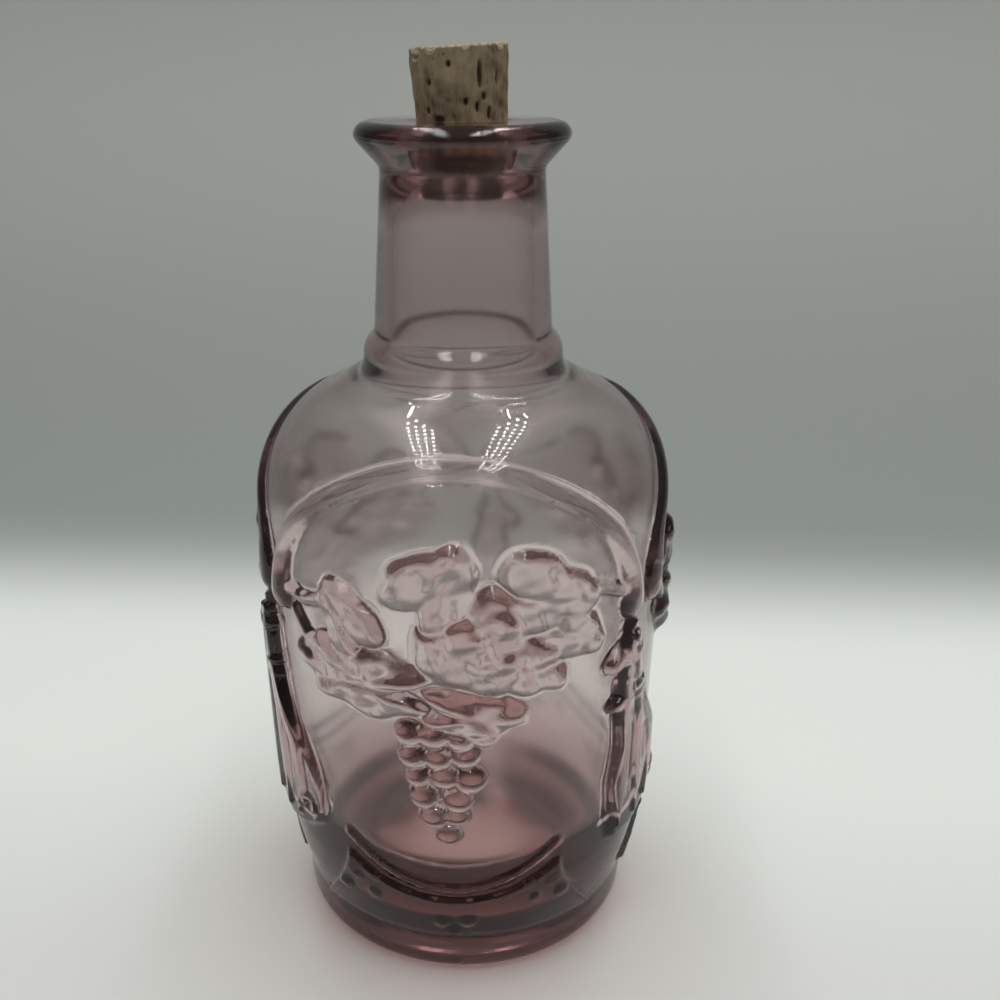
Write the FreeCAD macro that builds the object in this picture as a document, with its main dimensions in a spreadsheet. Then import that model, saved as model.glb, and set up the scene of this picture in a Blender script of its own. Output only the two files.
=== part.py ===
import FreeCAD, Part
import math
import os
import Sketcher
from FreeCAD import Placement, Rotation, Vector

# A pressed glass decanter with an embossed arcade, and its cork.
# The axis of the glass is Z, the origin is the middle of its base, and the middle
# of one of the three equal panels faces -Y.  All lengths are millimetres and all
# angles are degrees.  An angle on the glass is measured from the panel's middle.

SIZES = {
    # outside of the glass, from the foot to the lip
    "foot_radius": 41.6,
    "heel_level": 5.0,
    "heel_radius": 46.6,
    "heel_bend": 5.0,
    "band_radius": 46.8,
    "band_top": 13.4,
    "flare_radius": 50.95,
    "flare_top": 36.0,
    "flare_bend": 82.0,
    "body_radius": 52.6,
    "belly_level": 112.0,
    "side_bend": 1750.0,
    "shoulder_level": 123.0,
    "shoulder_bend": 31.5,
    "shoulder_end_radius": 36.0,
    "shoulder_end_level": 151.02,
    "collar_radius": 25.3,
    "collar_foot": 156.6,
    "collar_top": 161.2,
    "collar_bend": 5.2,
    "neck_foot_radius": 22.25,
    "neck_foot": 165.6,
    "neck_top_radius": 19.75,
    "neck_top": 204.4,
    "lip_flare_radius": 24.6,
    "lip_flare_level": 210.0,
    "lip_radius": 25.7,
    "lip_level": 212.2,
    "lip_bend": 3.2,
    "lip_crown_radius": 22.6,
    "glass_height": 215.0,
    "mouth_radius": 12.2,
    "mouth_bend": 2.2,
    # inside of the glass, from the mouth to the floor
    "throat_radius": 10.7,
    "throat_level": 213.4,
    "throat_end_radius": 9.95,
    "throat_end": 200.0,
    "bore_radius": 11.1,
    "bore_top": 193.0,
    "bore_foot": 171.0,
    "funnel_radius": 21.6,
    "funnel_level": 149.9,
    "funnel_bend": 26.0,
    "inner_radius": 48.3,
    "inner_shoulder": 123.0,
    "inner_shoulder_bend": 26.8,
    "inner_corner_level": 25.0,
    "inner_corner_bend": 15.5,
    "floor_radius": 33.0,
    "floor_level": 9.5,
    "floor_rise": 12.0,
    "floor_bend": 220.0,
    # hollow under the foot
    "kick_radius": 33.0,
    "kick_rise": 2.6,
    "kick_bend": 210.0,
    # embossing
    "panel_count": 3.0,
    "arch_rise": 1.9,
    "arch_crown_width": 5.8,
    "arch_foot_width": 9.4,
    "arch_top": 144.4,
    "arch_foot": 106.5,
    "arch_spread": 54.0,
    "grape_radius": 3.5,
    "grape_sink": 0.8,
    "leaf_crown": 32.0,
    "stem_radius": 1.7,
    "stem_sink": 0.3,
    "twig_radius": 1.4,
    "twig_sink": 0.3,
    "twig_dip": 32.6,
    "twig_rise": 11.0,
    "banner_rise": 1.5,
    "banner_dip": 29.8,
    "banner_horn": 9.7,
    "banner_spread": 33.0,
    "banner_foot_spread": 50.0,
    "berry_radius": 2.2,
    "berry_sink": 0.4,
    "pendant_rise": 2.3,
    "pendant_top": 103.0,
    "pendant_foot": 32.0,
    "pendant_half_width": 15.0,
    # cork
    "cork_end_radius": 9.86,
    "cork_bottom": 200.4,
    "cork_rim_radius": 10.62,
    "cork_head_radius": 11.65,
    "cork_top": 231.2,
    "cork_lean": 3.0,
}

# Outline of the half-section, as (radius, level, bend to the next corner, side):
# side +1 bows to the left of the way along the outline and -1 to the right.
GLASS_OUTSIDE = (
    ("", "kick_rise", "kick_bend", 1),
    ("kick_radius", "", "", 0),
    ("foot_radius", "", "heel_bend", -1),
    ("heel_radius", "heel_level", "", 0),
    ("band_radius", "band_top", "flare_bend", -1),
    ("flare_radius", "flare_top", "side_bend", -1),
    ("body_radius", "belly_level", "", 0),
    ("body_radius", "shoulder_level", "shoulder_bend", -1),
    ("shoulder_end_radius", "shoulder_end_level", "", 0),
    ("collar_radius", "collar_foot", "", 0),
    ("collar_radius", "collar_top", "collar_bend", -1),
    ("neck_foot_radius", "neck_foot", "", 0),
    ("neck_top_radius", "neck_top", "", 0),
    ("lip_flare_radius", "lip_flare_level", "lip_bend", -1),
    ("lip_radius", "lip_level", "lip_bend", -1),
    ("lip_crown_radius", "glass_height", "", 0),
    ("", "glass_height", "", 0),
)
GLASS_INSIDE = (
    ("", "floor_rise", "floor_bend", 1),
    ("floor_radius", "floor_level", "inner_corner_bend", -1),
    ("inner_radius", "inner_corner_level", "", 0),
    ("inner_radius", "inner_shoulder", "inner_shoulder_bend", -1),
    ("funnel_radius", "funnel_level", "funnel_bend", 1),
    ("bore_radius", "bore_foot", "", 0),
    ("bore_radius", "bore_top", "", 0),
    ("throat_end_radius", "throat_end", "", 0),
    ("throat_radius", "throat_level", "mouth_bend", 1),
    ("mouth_radius", "glass_height", "", 0),
    ("", "glass_height", "", 0),
)

# Grapes: (level, angles), from the top row of the bunch to its last grape.
GRAPE_ROWS = (
    (78.6, (-9.0, -3.0, 4.0, 10.0)),
    (72.6, (-8.2, -1.6, 5.2)),
    (66.8, (-7.2, 0.0, 6.6)),
    (61.0, (-5.6, 3.6)),
    (55.2, (-3.0, 3.0)),
    (49.4, (0.8,)),
)

# Leaves: (angle, level, half length, half width, turn of the tip from straight up,
# lobes round the leaf, depth of the notches, rise above the glass).
LEAVES = (
    (-26.0, 91.5, 19.0, 8.6, 83.0, 7, 0.16, 2.2),
    (7.0, 85.5, 13.5, 6.6, 262.0, 5, 0.14, 2.7),
    (-25.0, 105.5, 11.0, 8.2, 40.0, 3, 0.16, 3.0),
    (-3.5, 119.0, 12.0, 10.2, 35.0, 5, 0.20, 2.8),
    (26.0, 114.5, 16.5, 10.4, 285.0, 5, 0.20, 3.0),
    (9.0, 103.5, 16.5, 12.2, 235.0, 3, 0.12, 3.6),
)
LEAF_POINTS = 36

# Stems: (angle, level) along each vine from the foot of the arch to the leaves.
STEMS = (
    ((-50.0, 108.5), (-42.0, 107.0), (-32.0, 110.0), (-22.0, 108.5)),
    ((-46.0, 104.0), (-42.0, 98.0), (-33.0, 97.0), (-20.0, 99.0)),
    ((50.0, 110.0), (43.0, 113.0), (33.0, 115.0)),
    ((30.0, 106.5), (30.5, 99.0), (25.0, 93.5), (16.0, 94.5)),
)
ARCH_STATIONS = 17
TWIG_STATIONS = 9
TWIG_REACH = 31.0
BERRY_SPOTS = ((-29.5, 31.5), (-34.0, 26.0), (-23.5, 27.0), (29.5, 32.0), (33.0, 27.0), (24.5, 27.5),
               (-3.0, 20.5), (4.5, 21.0), (0.5, 17.0))

# Pores of the cork: (turn, level, half length, half width), and the broken rim.
PORES = (
    (24.0, 224.0, 3.0, 0.9),
    (-38.0, 219.5, 1.6, 0.7),
    (5.0, 218.4, 1.4, 0.6),
    (95.0, 222.0, 2.2, 0.8),
    (160.0, 226.0, 1.6, 0.7),
    (-120.0, 220.5, 2.4, 0.8),
)
PORE_DEPTH = 0.9
CHIPS = ((-62.0, 231.6, 3.6), (-30.0, 232.4, 2.6), (-88.0, 232.2, 2.8), (140.0, 232.6, 2.4))
CHIP_FLATNESS = 0.62

PARTS_FOLDER = "parts"


def make_sheet(doc):
    """Spreadsheet of the driving dimensions, one row for each name."""
    sheet = doc.addObject("Spreadsheet::Sheet", "dims")
    for row, (name, value) in enumerate(SIZES.items(), start=1):
        sheet.set(f"A{row}", name)
        sheet.set(f"B{row}", str(value))
        sheet.setAlias(f"B{row}", name)
    doc.recompute()
    return sheet


def arc_between(start, end, radius, side):
    """Arc of a given radius; side +1 bows to the left of the way from start to end."""
    chord = end - start
    sagitta = radius - math.sqrt(radius ** 2 - (chord.Length / 2) ** 2)
    to_left = Vector(-chord.y, chord.x, 0).normalize()
    return Part.Arc(start, start + chord * 0.5 + to_left * (side * sagitta), end)


def bind(sketch, constraint, value, name):
    """Adds a constraint whose value follows a name of the sheet."""
    number = sketch.addConstraint(Sketcher.Constraint(*constraint, value))
    sketch.setExpression(f"Constraints[{number}]", f"dims.{name}")


def revolved_body(doc, sheet, label, outline):
    """Body that turns a closed half-section about Z."""
    body = doc.addObject("PartDesign::Body", label)
    sketch = body.newObject("Sketcher::SketchObject", f"{label}_section")
    plane = next(item for item in body.Origin.OriginFeatures if item.Role == "XZ_Plane")
    sketch.AttachmentSupport = [(plane, "")]
    sketch.MapMode = "FlatFace"
    corners = [Vector(*(getattr(sheet, name) if name else 0.0 for name in step[:2]), 0) for step in outline]
    following = [*range(1, len(outline)), 0]
    for (_, _, bend, side), start, after in zip(outline, corners, following):
        if bend:
            edge = arc_between(start, corners[after], getattr(sheet, bend), side)
        else:
            edge = Part.LineSegment(start, corners[after])
        sketch.addGeometry(edge, False)
    # the sketch keeps every arc anticlockwise, so one that bows to the left is turned round
    first_point = [2 if side > 0 else 1 for _, _, _, side in outline]
    for index, after in enumerate(following):
        sketch.addConstraint(
            Sketcher.Constraint("Coincident", index, 3 - first_point[index], after, first_point[after]))
    for index, (radius_name, level_name, bend, _) in enumerate(outline):
        point = (index, first_point[index])
        for kind, name, value, axis in (("DistanceX", radius_name, corners[index].x, -2),
                                        ("DistanceY", level_name, corners[index].y, -1)):
            if name:
                bind(sketch, (kind, -1, 1, *point), value, name)
            else:
                sketch.addConstraint(Sketcher.Constraint("PointOnObject", *point, axis))
        if bend:
            bind(sketch, ("Radius", index), getattr(sheet, bend), bend)
    turn = body.newObject("PartDesign::Revolution", f"{label}_turn")
    turn.Profile = sketch
    turn.ReferenceAxis = (sketch, ["V_Axis"])
    turn.Angle = 360.0
    return body


def glass_radius(sheet, level):
    """Outside radius of the plain glass between the base band and the collar."""
    if level > sheet.shoulder_level:
        height = min(level, sheet.shoulder_end_level) - sheet.shoulder_level
        centre = sheet.body_radius - sheet.shoulder_bend
        return centre + math.sqrt(sheet.shoulder_bend ** 2 - height ** 2)
    if level > sheet.belly_level:
        return sheet.body_radius
    if level > sheet.flare_top:
        return sheet.body_radius - (sheet.belly_level - level) ** 2 / (2 * sheet.side_bend)
    share = (level - sheet.band_top) / (sheet.flare_top - sheet.band_top)
    chord = sheet.band_radius + (sheet.flare_radius - sheet.band_radius) * share
    return chord + (level - sheet.band_top) * (sheet.flare_top - level) / (2 * sheet.flare_bend)


def on_glass(sheet, angle, level, lift=0.0):
    """Point at an angle and a level, lifted outwards from the plain glass."""
    radius = glass_radius(sheet, level) + lift
    turn = math.radians(angle)
    return Vector(radius * math.sin(turn), -radius * math.cos(turn), level)


def rod(doc, label, points, radii):
    """Solid lofted through round sections that stand across a path of points."""
    rings = []
    for index, (point, radius) in enumerate(zip(points, radii)):
        ahead = points[min(index + 1, len(points) - 1)] - points[max(index - 1, 0)]
        rings.append(Part.Wire(Part.makeCircle(radius, point, ahead)))
    feature = doc.addObject("Part::Feature", label)
    feature.Shape = Part.makeLoft(rings, True, False)
    return feature


def make_arch(doc, sheet):
    """Rounded rib that springs from the belly and runs up over the shoulder."""
    points = []
    radii = []
    for station in range(ARCH_STATIONS):
        share = 2 * station / (ARCH_STATIONS - 1) - 1
        angle = sheet.arch_spread * math.sin(share * math.pi / 2)
        fall = 1 - math.sqrt(max(0.0, 1 - abs(math.sin(share * math.pi / 2)) ** 2.1))
        level = sheet.arch_top - (sheet.arch_top - sheet.arch_foot) * fall
        width = sheet.arch_crown_width + (sheet.arch_foot_width - sheet.arch_crown_width) * share ** 4
        # a chord of this width stands arch_rise above the glass
        radius = (width ** 2 / 4 + sheet.arch_rise ** 2) / (2 * sheet.arch_rise)
        points.append(on_glass(sheet, angle, level, sheet.arch_rise - radius))
        radii.append(radius)
    return rod(doc, "arch", points, radii)


def make_grapes(doc, sheet):
    """Bunch of round grapes, half sunk in the glass."""
    grapes = []
    for row, (level, angles) in enumerate(GRAPE_ROWS):
        for column, angle in enumerate(angles):
            grape = doc.addObject("Part::Sphere", f"grape_{row + 1}_{column + 1}")
            growth = 0.3 * math.sin(2.3 * row + 1.7 * column)
            grape.setExpression("Radius", f"dims.grape_radius + {growth:.2f}")
            grape.Placement.Base = on_glass(sheet, angle, level, -sheet.grape_sink)
            grapes.append(grape)
    return grapes


def make_berries(doc, sheet):
    """Low round berries on the banner, three at each end and three in the middle."""
    berries = []
    for index, (angle, level) in enumerate(BERRY_SPOTS):
        berry = doc.addObject("Part::Sphere", f"berry_{index + 1}")
        berry.setExpression("Radius", "dims.berry_radius")
        berry.Placement.Base = on_glass(sheet, angle, level, -sheet.berry_sink)
        berries.append(berry)
    return berries


def leaf_outline(length, width, lobes, notch):
    """Closed curve of a lobed leaf with its tip at +Y and a cleft at its stalk."""
    points = []
    for step in range(LEAF_POINTS):
        turn = 2 * math.pi * step / LEAF_POINTS
        reach = 1 - notch * (1 - math.cos(lobes * turn)) / 2
        cleft = 0.35 * math.exp(-((turn - math.pi) / 0.35) ** 2)
        reach -= cleft
        points.append(Vector(-width * reach * math.sin(turn), length * reach * math.cos(turn), 0))
    curve = Part.BSplineCurve()
    curve.interpolate(points, PeriodicFlag=True)
    return Part.Face(Part.Wire(curve.toShape()))


def make_leaf(doc, sheet, label, leaf):
    """Leaf cut from a shallow dome, so that it is thick in the middle."""
    angle, level, length, width, turn, lobes, notch, rise = leaf
    outline = doc.addObject("Part::Feature", f"{label}_outline")
    outline.Shape = leaf_outline(length, width, lobes, notch)
    # the outline lies in a plane inside the glass, and the leaf is drawn outwards from it
    facing = Rotation(Vector(0, 0, 1), angle) * Rotation(Vector(1, 0, 0), 90)
    inside = on_glass(sheet, angle, level, -10.0)
    outline.Placement = Placement(inside, facing * Rotation(Vector(0, 0, 1), turn))
    prism = doc.addObject("Part::Extrusion", f"{label}_prism")
    prism.Base = outline
    prism.DirMode = "Normal"
    prism.LengthFwd = 20.0
    prism.Solid = True
    dome = doc.addObject("Part::Sphere", f"{label}_dome")
    dome.setExpression("Radius", "dims.leaf_crown")
    dome.Placement.Base = on_glass(sheet, angle, level, rise - sheet.leaf_crown)
    piece = doc.addObject("Part::Common", label)
    piece.Base = prism
    piece.Tool = dome
    return piece


def skin(doc, sheet, label, rise, low, high):
    """Solid of revolution that stands evenly above the plain glass."""
    steps = 24
    levels = [low + (high - low) * step / steps for step in range(steps + 1)]
    curve = Part.BSplineCurve()
    curve.interpolate([Vector(glass_radius(sheet, level) + rise, 0, level) for level in levels])
    ends = curve.value(curve.FirstParameter), curve.value(curve.LastParameter)
    foot = Vector(0, 0, low)
    head = Vector(0, 0, high)
    wire = Part.Wire([Part.makeLine(foot, ends[0]), curve.toShape(),
                      Part.makeLine(ends[1], head), Part.makeLine(head, foot)])
    feature = doc.addObject("Part::Feature", label)
    feature.Shape = Part.Face(wire).revolve(Vector(), Vector(0, 0, 1), 360)
    return feature


def flat_relief(doc, sheet, label, points, rise, low, high):
    """Raised field of even height inside an outline that is drawn straight along Y."""
    outline = doc.addObject("Part::Feature", f"{label}_outline")
    outline.Shape = Part.Face(Part.makePolygon([*points, points[0]]))
    prism = doc.addObject("Part::Extrusion", f"{label}_prism")
    prism.Base = outline
    prism.DirMode = "Custom"
    prism.Dir = Vector(0, -1, 0)
    prism.LengthFwd = 60.0
    prism.Solid = True
    piece = doc.addObject("Part::Common", label)
    piece.Base = prism
    piece.Tool = skin(doc, sheet, f"{label}_skin", rise, low, high)
    return piece


def make_banner(doc, sheet):
    """Draped banner on the base: it dips in the middle and flares at its feet."""
    top = []
    side = []
    steps = 12
    for step in range(steps + 1):
        share = 2 * step / steps - 1
        angle = sheet.banner_spread * share
        point = on_glass(sheet, angle, sheet.banner_dip + sheet.banner_horn * share ** 2)
        top.append(Vector(point.x, 0, point.z))
    horn = top[-1]
    foot_reach = sheet.banner_foot_spread
    foot = on_glass(sheet, foot_reach, sheet.band_top + 0.2)
    for step in range(1, 6):
        share = step / 5
        bow = 1 - math.cos(share * math.pi / 2)
        side.append(Vector(horn.x + (foot.x - horn.x) * bow, 0, horn.z + (foot.z - horn.z) * share))
    mirrored = [Vector(-point.x, 0, point.z) for point in reversed(side)]
    return flat_relief(doc, sheet, "banner", [*top, *side, *mirrored],
                       sheet.banner_rise, sheet.band_top, sheet.banner_dip + sheet.banner_horn + 6)


def make_pendant(doc, sheet):
    """Long drop that hangs between two arches."""
    low = sheet.pendant_foot
    high = sheet.pendant_top
    sides = []
    steps = 14
    for step in range(steps + 1):
        share = step / steps
        width = sheet.pendant_half_width * math.sin(math.pi * share ** 0.42) ** 0.8
        sides.append((width + 0.4, low + (high - low) * share))
    right = [Vector(width, 0, level) for width, level in sides]
    left = [Vector(-width, 0, level) for width, level in reversed(sides)]
    piece = flat_relief(doc, sheet, "pendant", [*right, *left], sheet.pendant_rise, low - 4, high + 4)
    return piece


def make_stems(doc, sheet):
    """Vine stems from the feet of the arch to the leaves, and the curl beside them."""
    stems = []
    for index, spots in enumerate(STEMS):
        points = [on_glass(sheet, angle, level, -sheet.stem_sink) for angle, level in spots]
        stems.append(rod(doc, f"stem_{index + 1}", points, [sheet.stem_radius] * len(points)))
    return stems


def make_twig(doc, sheet):
    """Thin twig that follows the top of the banner."""
    points = []
    for station in range(TWIG_STATIONS):
        share = 2 * station / (TWIG_STATIONS - 1) - 1
        level = sheet.twig_dip + sheet.twig_rise * share ** 2
        points.append(on_glass(sheet, TWIG_REACH * share, level, -sheet.twig_sink))
    return rod(doc, "twig", points, [sheet.twig_radius] * TWIG_STATIONS)


def turned_copies(doc, sheet, piece, first_turn):
    """Links to one piece, turned to each of the equal panels."""
    count = round(sheet.panel_count)
    copies = []
    for index in range(count):
        copy = doc.addObject("App::Link", f"{piece.Label}_{index + 1}")
        copy.LinkedObject = piece
        copy.LinkTransform = True
        copy.Placement = Placement(Vector(), Rotation(Vector(0, 0, 1), first_turn + 360 / count * index))
        copies.append(copy)
    return copies


def make_bottle(doc, sheet):
    """Glass of one piece: the turned blank, the embossing, and the cavity cut out."""
    blank = revolved_body(doc, sheet, "blank", GLASS_OUTSIDE)
    cavity = revolved_body(doc, sheet, "cavity", GLASS_INSIDE)
    leaves = [make_leaf(doc, sheet, f"leaf_{index + 1}", leaf) for index, leaf in enumerate(LEAVES)]
    panel = doc.addObject("Part::MultiFuse", "panel")
    panel.Shapes = [make_arch(doc, sheet), *leaves, *make_grapes(doc, sheet), *make_stems(doc, sheet),
                    make_twig(doc, sheet), make_banner(doc, sheet), *make_berries(doc, sheet)]
    pendant = make_pendant(doc, sheet)
    doc.recompute()
    embossed = doc.addObject("Part::MultiFuse", "embossed")
    half_step = 180 / sheet.panel_count
    embossed.Shapes = [blank, *turned_copies(doc, sheet, panel, 0.0),
                       *turned_copies(doc, sheet, pendant, half_step)]
    bottle = doc.addObject("Part::Cut", "bottle")
    bottle.Base = embossed
    bottle.Tool = cavity
    return bottle


def make_cork(doc, sheet):
    """Tapered cork: straight in the throat, leaning above it, with a broken rim."""
    lean = math.radians(sheet.cork_lean)
    exposed = sheet.cork_top - sheet.throat_level
    tilt = Rotation(Vector(0, 1, 0), -sheet.cork_lean)
    sections = (("cork_end", "cork_end_radius", sheet.cork_bottom, 0.0),
                ("cork_rim", "cork_rim_radius", sheet.throat_level, 0.0),
                ("cork_head", "cork_head_radius", sheet.cork_top, 1.0))
    rings = []
    for name, radius_name, level, share in sections:
        ring = doc.addObject("Part::Circle", f"{name}_ring")
        ring.setExpression("Radius", f"dims.{radius_name}")
        aside = -math.tan(lean) * exposed * share
        ring.Placement = Placement(Vector(aside, 0, level), tilt if share else Rotation())
        rings.append(ring)
    shank = doc.addObject("Part::Loft", "cork_shank")
    shank.Sections = rings[:2]
    head = doc.addObject("Part::Loft", "cork_crown")
    head.Sections = rings[1:]
    for loft in (shank, head):
        loft.Solid = True
        loft.Ruled = True
    whole = doc.addObject("Part::Fuse", "cork_whole")
    whole.Base = shank
    whole.Tool = head
    cork = doc.addObject("Part::Cut", "cork")
    cork.Base = whole
    cork.Tool = make_cork_wear(doc, sheet)
    return cork


def make_cork_wear(doc, sheet):
    """Pores of the cork's side and chips of its rim, gathered to be cut out."""
    wear = []
    for index, (turn, level, length, width) in enumerate(PORES):
        pore = doc.addObject("Part::Ellipsoid", f"pore_{index + 1}")
        pore.Radius1 = width
        pore.Radius2 = length
        pore.Radius3 = PORE_DEPTH
        share = (level - sheet.throat_level) / (sheet.cork_top - sheet.throat_level)
        radius = sheet.cork_rim_radius + (sheet.cork_head_radius - sheet.cork_rim_radius) * share
        aside = -math.tan(math.radians(sheet.cork_lean)) * (level - sheet.throat_level)
        pore.Placement = Placement(Vector(aside + radius * math.sin(math.radians(turn)),
                                          -radius * math.cos(math.radians(turn)), level),
                                   Rotation(Vector(0, 0, 1), turn))
        wear.append(pore)
    for index, (turn, level, size) in enumerate(CHIPS):
        chip = doc.addObject("Part::Ellipsoid", f"chip_{index + 1}")
        chip.Radius1 = size * CHIP_FLATNESS
        chip.Radius2 = size
        chip.Radius3 = size
        radius = sheet.cork_head_radius
        chip.Placement.Base = Vector(radius * math.sin(math.radians(turn)),
                                     -radius * math.cos(math.radians(turn)), level)
        wear.append(chip)
    gathered = doc.addObject("Part::MultiFuse", "cork_wear")
    gathered.Shapes = wear
    return gathered


def check_document(doc, pieces):
    """Stops with a message when a feature failed or a piece is not one sound solid."""
    for item in doc.Objects:
        if "Invalid" in item.State or "Error" in item.State:
            raise RuntimeError(f"{item.Label} failed: {item.State}")
    for piece in pieces:
        shape = piece.Shape
        if shape.isNull() or not shape.isValid() or len(shape.Solids) != 1:
            raise RuntimeError(f"{piece.Label} is not one valid solid")


def main():
    doc = FreeCAD.newDocument("decanter")
    sheet = make_sheet(doc)
    pieces = [make_bottle(doc, sheet), make_cork(doc, sheet)]
    doc.recompute()
    check_document(doc, pieces)
    os.makedirs(PARTS_FOLDER, exist_ok=True)
    for piece in pieces:
        shape = piece.Shape
        shape.exportStep(os.path.join(PARTS_FOLDER, f"{piece.Label}.step"))
        box = shape.BoundBox
        print(f"{piece.Label}: volume {shape.Volume / 1000:.1f} ml, {len(shape.Faces)} faces, "
              f"box {box.XMin:.2f} {box.XMax:.2f} {box.YMin:.2f} {box.YMax:.2f} {box.ZMin:.2f} {box.ZMax:.2f}")


main()
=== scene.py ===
import math

import bmesh
import bpy
import numpy as np
from bpy.props import FloatProperty, FloatVectorProperty, IntProperty, PointerProperty
from mathutils import Matrix, Vector


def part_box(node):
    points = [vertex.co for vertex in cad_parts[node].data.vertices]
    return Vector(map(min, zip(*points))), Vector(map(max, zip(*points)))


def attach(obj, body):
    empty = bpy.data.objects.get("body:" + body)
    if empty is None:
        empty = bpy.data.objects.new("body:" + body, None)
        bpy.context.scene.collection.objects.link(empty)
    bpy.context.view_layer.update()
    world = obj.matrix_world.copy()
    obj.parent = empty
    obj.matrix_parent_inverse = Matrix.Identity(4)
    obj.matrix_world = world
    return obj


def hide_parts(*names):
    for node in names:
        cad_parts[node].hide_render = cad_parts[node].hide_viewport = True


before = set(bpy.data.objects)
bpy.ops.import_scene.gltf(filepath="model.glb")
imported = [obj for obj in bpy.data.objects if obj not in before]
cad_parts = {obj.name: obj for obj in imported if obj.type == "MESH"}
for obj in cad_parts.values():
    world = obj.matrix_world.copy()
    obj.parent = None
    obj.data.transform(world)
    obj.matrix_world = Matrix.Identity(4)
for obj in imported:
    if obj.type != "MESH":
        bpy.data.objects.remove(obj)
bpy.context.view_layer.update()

bl_info = {
    "name": "Embossed Glass Decanter",
    "version": (1, 0, 0),
    "blender": (4, 5, 0),
    "location": "View3D > Sidebar > Decanter",
    "description": "Builds an embossed glass decanter with its cork, and a small studio for it",
    "category": "Object",
}

MM = 0.001

# The glass in millimetres: radii, levels above the floor, and the bends of its outline.
GLASS_HEIGHT = Vector(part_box("bottle")[1]).z / MM
BODY_RADIUS = 52.6
FLARE_LOW, FLARE_HIGH = 13.4, 36.0
FLARE_RADII = 46.8, 50.95
FLARE_BEND = 82.0
SIDE_HIGH = 112.0
SIDE_BEND = 1750.0
SHOULDER_LOW = 123.0
SHOULDER_BEND = 31.5
EMBOSSED = 13.6, 151.0

# The cork in millimetres: its ends, and its radius and level where it leaves the mouth.
CORK_END = Vector(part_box("cork")[0]).z / MM
CORK_TOP = 231.2
CORK_RADIUS = 10.62
MOUTH_LEVEL = 213.4
CORK_LEAN = math.radians(3.0)
CORK_COLUMNS = 216

# Corners nearer than this are merged, in metres.
MERGE = 0.00001

# The floor and wall in metres: ends of the floor, place, bend and top of the wall, and half
# their width.
FLOOR_FRONT, FLOOR_BACK = -0.6, 0.16
WALL_DEPTH, WALL_BEND, WALL_TOP = 0.50, 0.34, 0.9
SWEEP_HALF_WIDTH = 0.9

# Lamps in metres and watts: place, size and power of the one overhead; side and place of each
# strip, with the strips' size, power and depth.
OVERHEAD = (0.12, 0.1, 1.6), (1.4, 1.4), 20.0
STRIPS = ("left", -0.37), ("right", 0.35)
STRIP_SIZE = 0.09, 1.9
STRIP_POWER = 5.0
STRIP_DEPTH = 0.1

# Points of a strip: rows and columns, pitch aside and along, place of its middle, height, and size.
STRIP_ROWS = 26
STRIP_COLUMNS = 4
STRIP_PITCH = 0.07, 0.095
STRIP_MIDDLE = -0.05
STRIP_HEIGHT = 1.5
POINT_SIZE = 0.012


# ---------------------------------------------------------------- sections

def arc_points(start, end, radius, side, pitch):
    """Points after start up to end on an arc; side +1 bows to the left of the way."""
    chord = np.subtract(end, start)
    length = np.hypot(*chord)
    reach = math.sqrt(radius ** 2 - (length / 2) ** 2)
    to_left = np.array((-chord[1], chord[0])) / length
    centre = (np.add(start, end)) / 2 - to_left * side * reach
    first = math.atan2(start[1] - centre[1], start[0] - centre[0])
    sweep = 2 * math.asin(length / 2 / radius) * -side
    count = max(1, round(abs(sweep) * radius / pitch))
    turns = first + sweep * np.arange(1, count + 1) / count
    return [(centre[0] + radius * math.cos(turn), centre[1] + radius * math.sin(turn)) for turn in turns]


def line_points(start, end, pitch):
    """Points after start up to end on a straight line."""
    count = max(1, round(math.dist(start, end) / pitch))
    return [tuple(np.add(start, np.subtract(end, start) * step / count)) for step in range(1, count + 1)]


def section(start, steps):
    """Outline in (radius, level), as steps of (corner, bend or 0, side, pitch)."""
    points = [start]
    for corner, bend, side, pitch in steps:
        if bend:
            points += arc_points(points[-1], corner, bend, side, pitch)
        else:
            points += line_points(points[-1], corner, pitch)
    return points


def outside_section():
    """Outline of the glass from the middle of the foot to the rim of the mouth."""
    rim = GLASS_HEIGHT
    return section((0.0, 2.6), (
        ((33.0, 0.6), 210.0, 1, 3.3),
        ((34.6, 0.0), 2.5, -1, 0.8),
        ((41.6, 0.0), 0, 0, 2.4),
        ((46.6, 5.0), 5.0, -1, 0.9),
        ((46.8, 12.6), 0, 0, 1.3),
        ((47.2, 13.5), 1.2, 1, 0.5),
        ((FLARE_RADII[1], FLARE_HIGH), FLARE_BEND, -1, 1.7),
        ((BODY_RADIUS, SIDE_HIGH), SIDE_BEND, -1, 1.7),
        ((BODY_RADIUS, SHOULDER_LOW), 0, 0, 1.7),
        ((36.8, 150.4), SHOULDER_BEND, -1, 1.7),
        ((29.0, 154.3), 0, 0, 1.2),
        ((25.5, 157.4), 4.5, 1, 0.6),
        ((25.1, 159.4), 0, 0, 0.7),
        ((22.9, 164.9), 6.2, -1, 0.6),
        ((22.25, 166.8), 2.6, 1, 0.5),
        ((19.85, 203.4), 0, 0, 1.8),
        ((20.7, 205.6), 3.0, 1, 0.5),
        ((24.7, 210.0), 0, 0, 0.8),
        ((25.75, 212.2), 3.4, -1, 0.5),
        ((22.9, rim - 0.1), 3.3, -1, 0.5),
        ((21.9, rim), 1.6, -1, 0.5),
        ((13.6, rim), 0, 0, 2.0),
    ))


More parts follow.
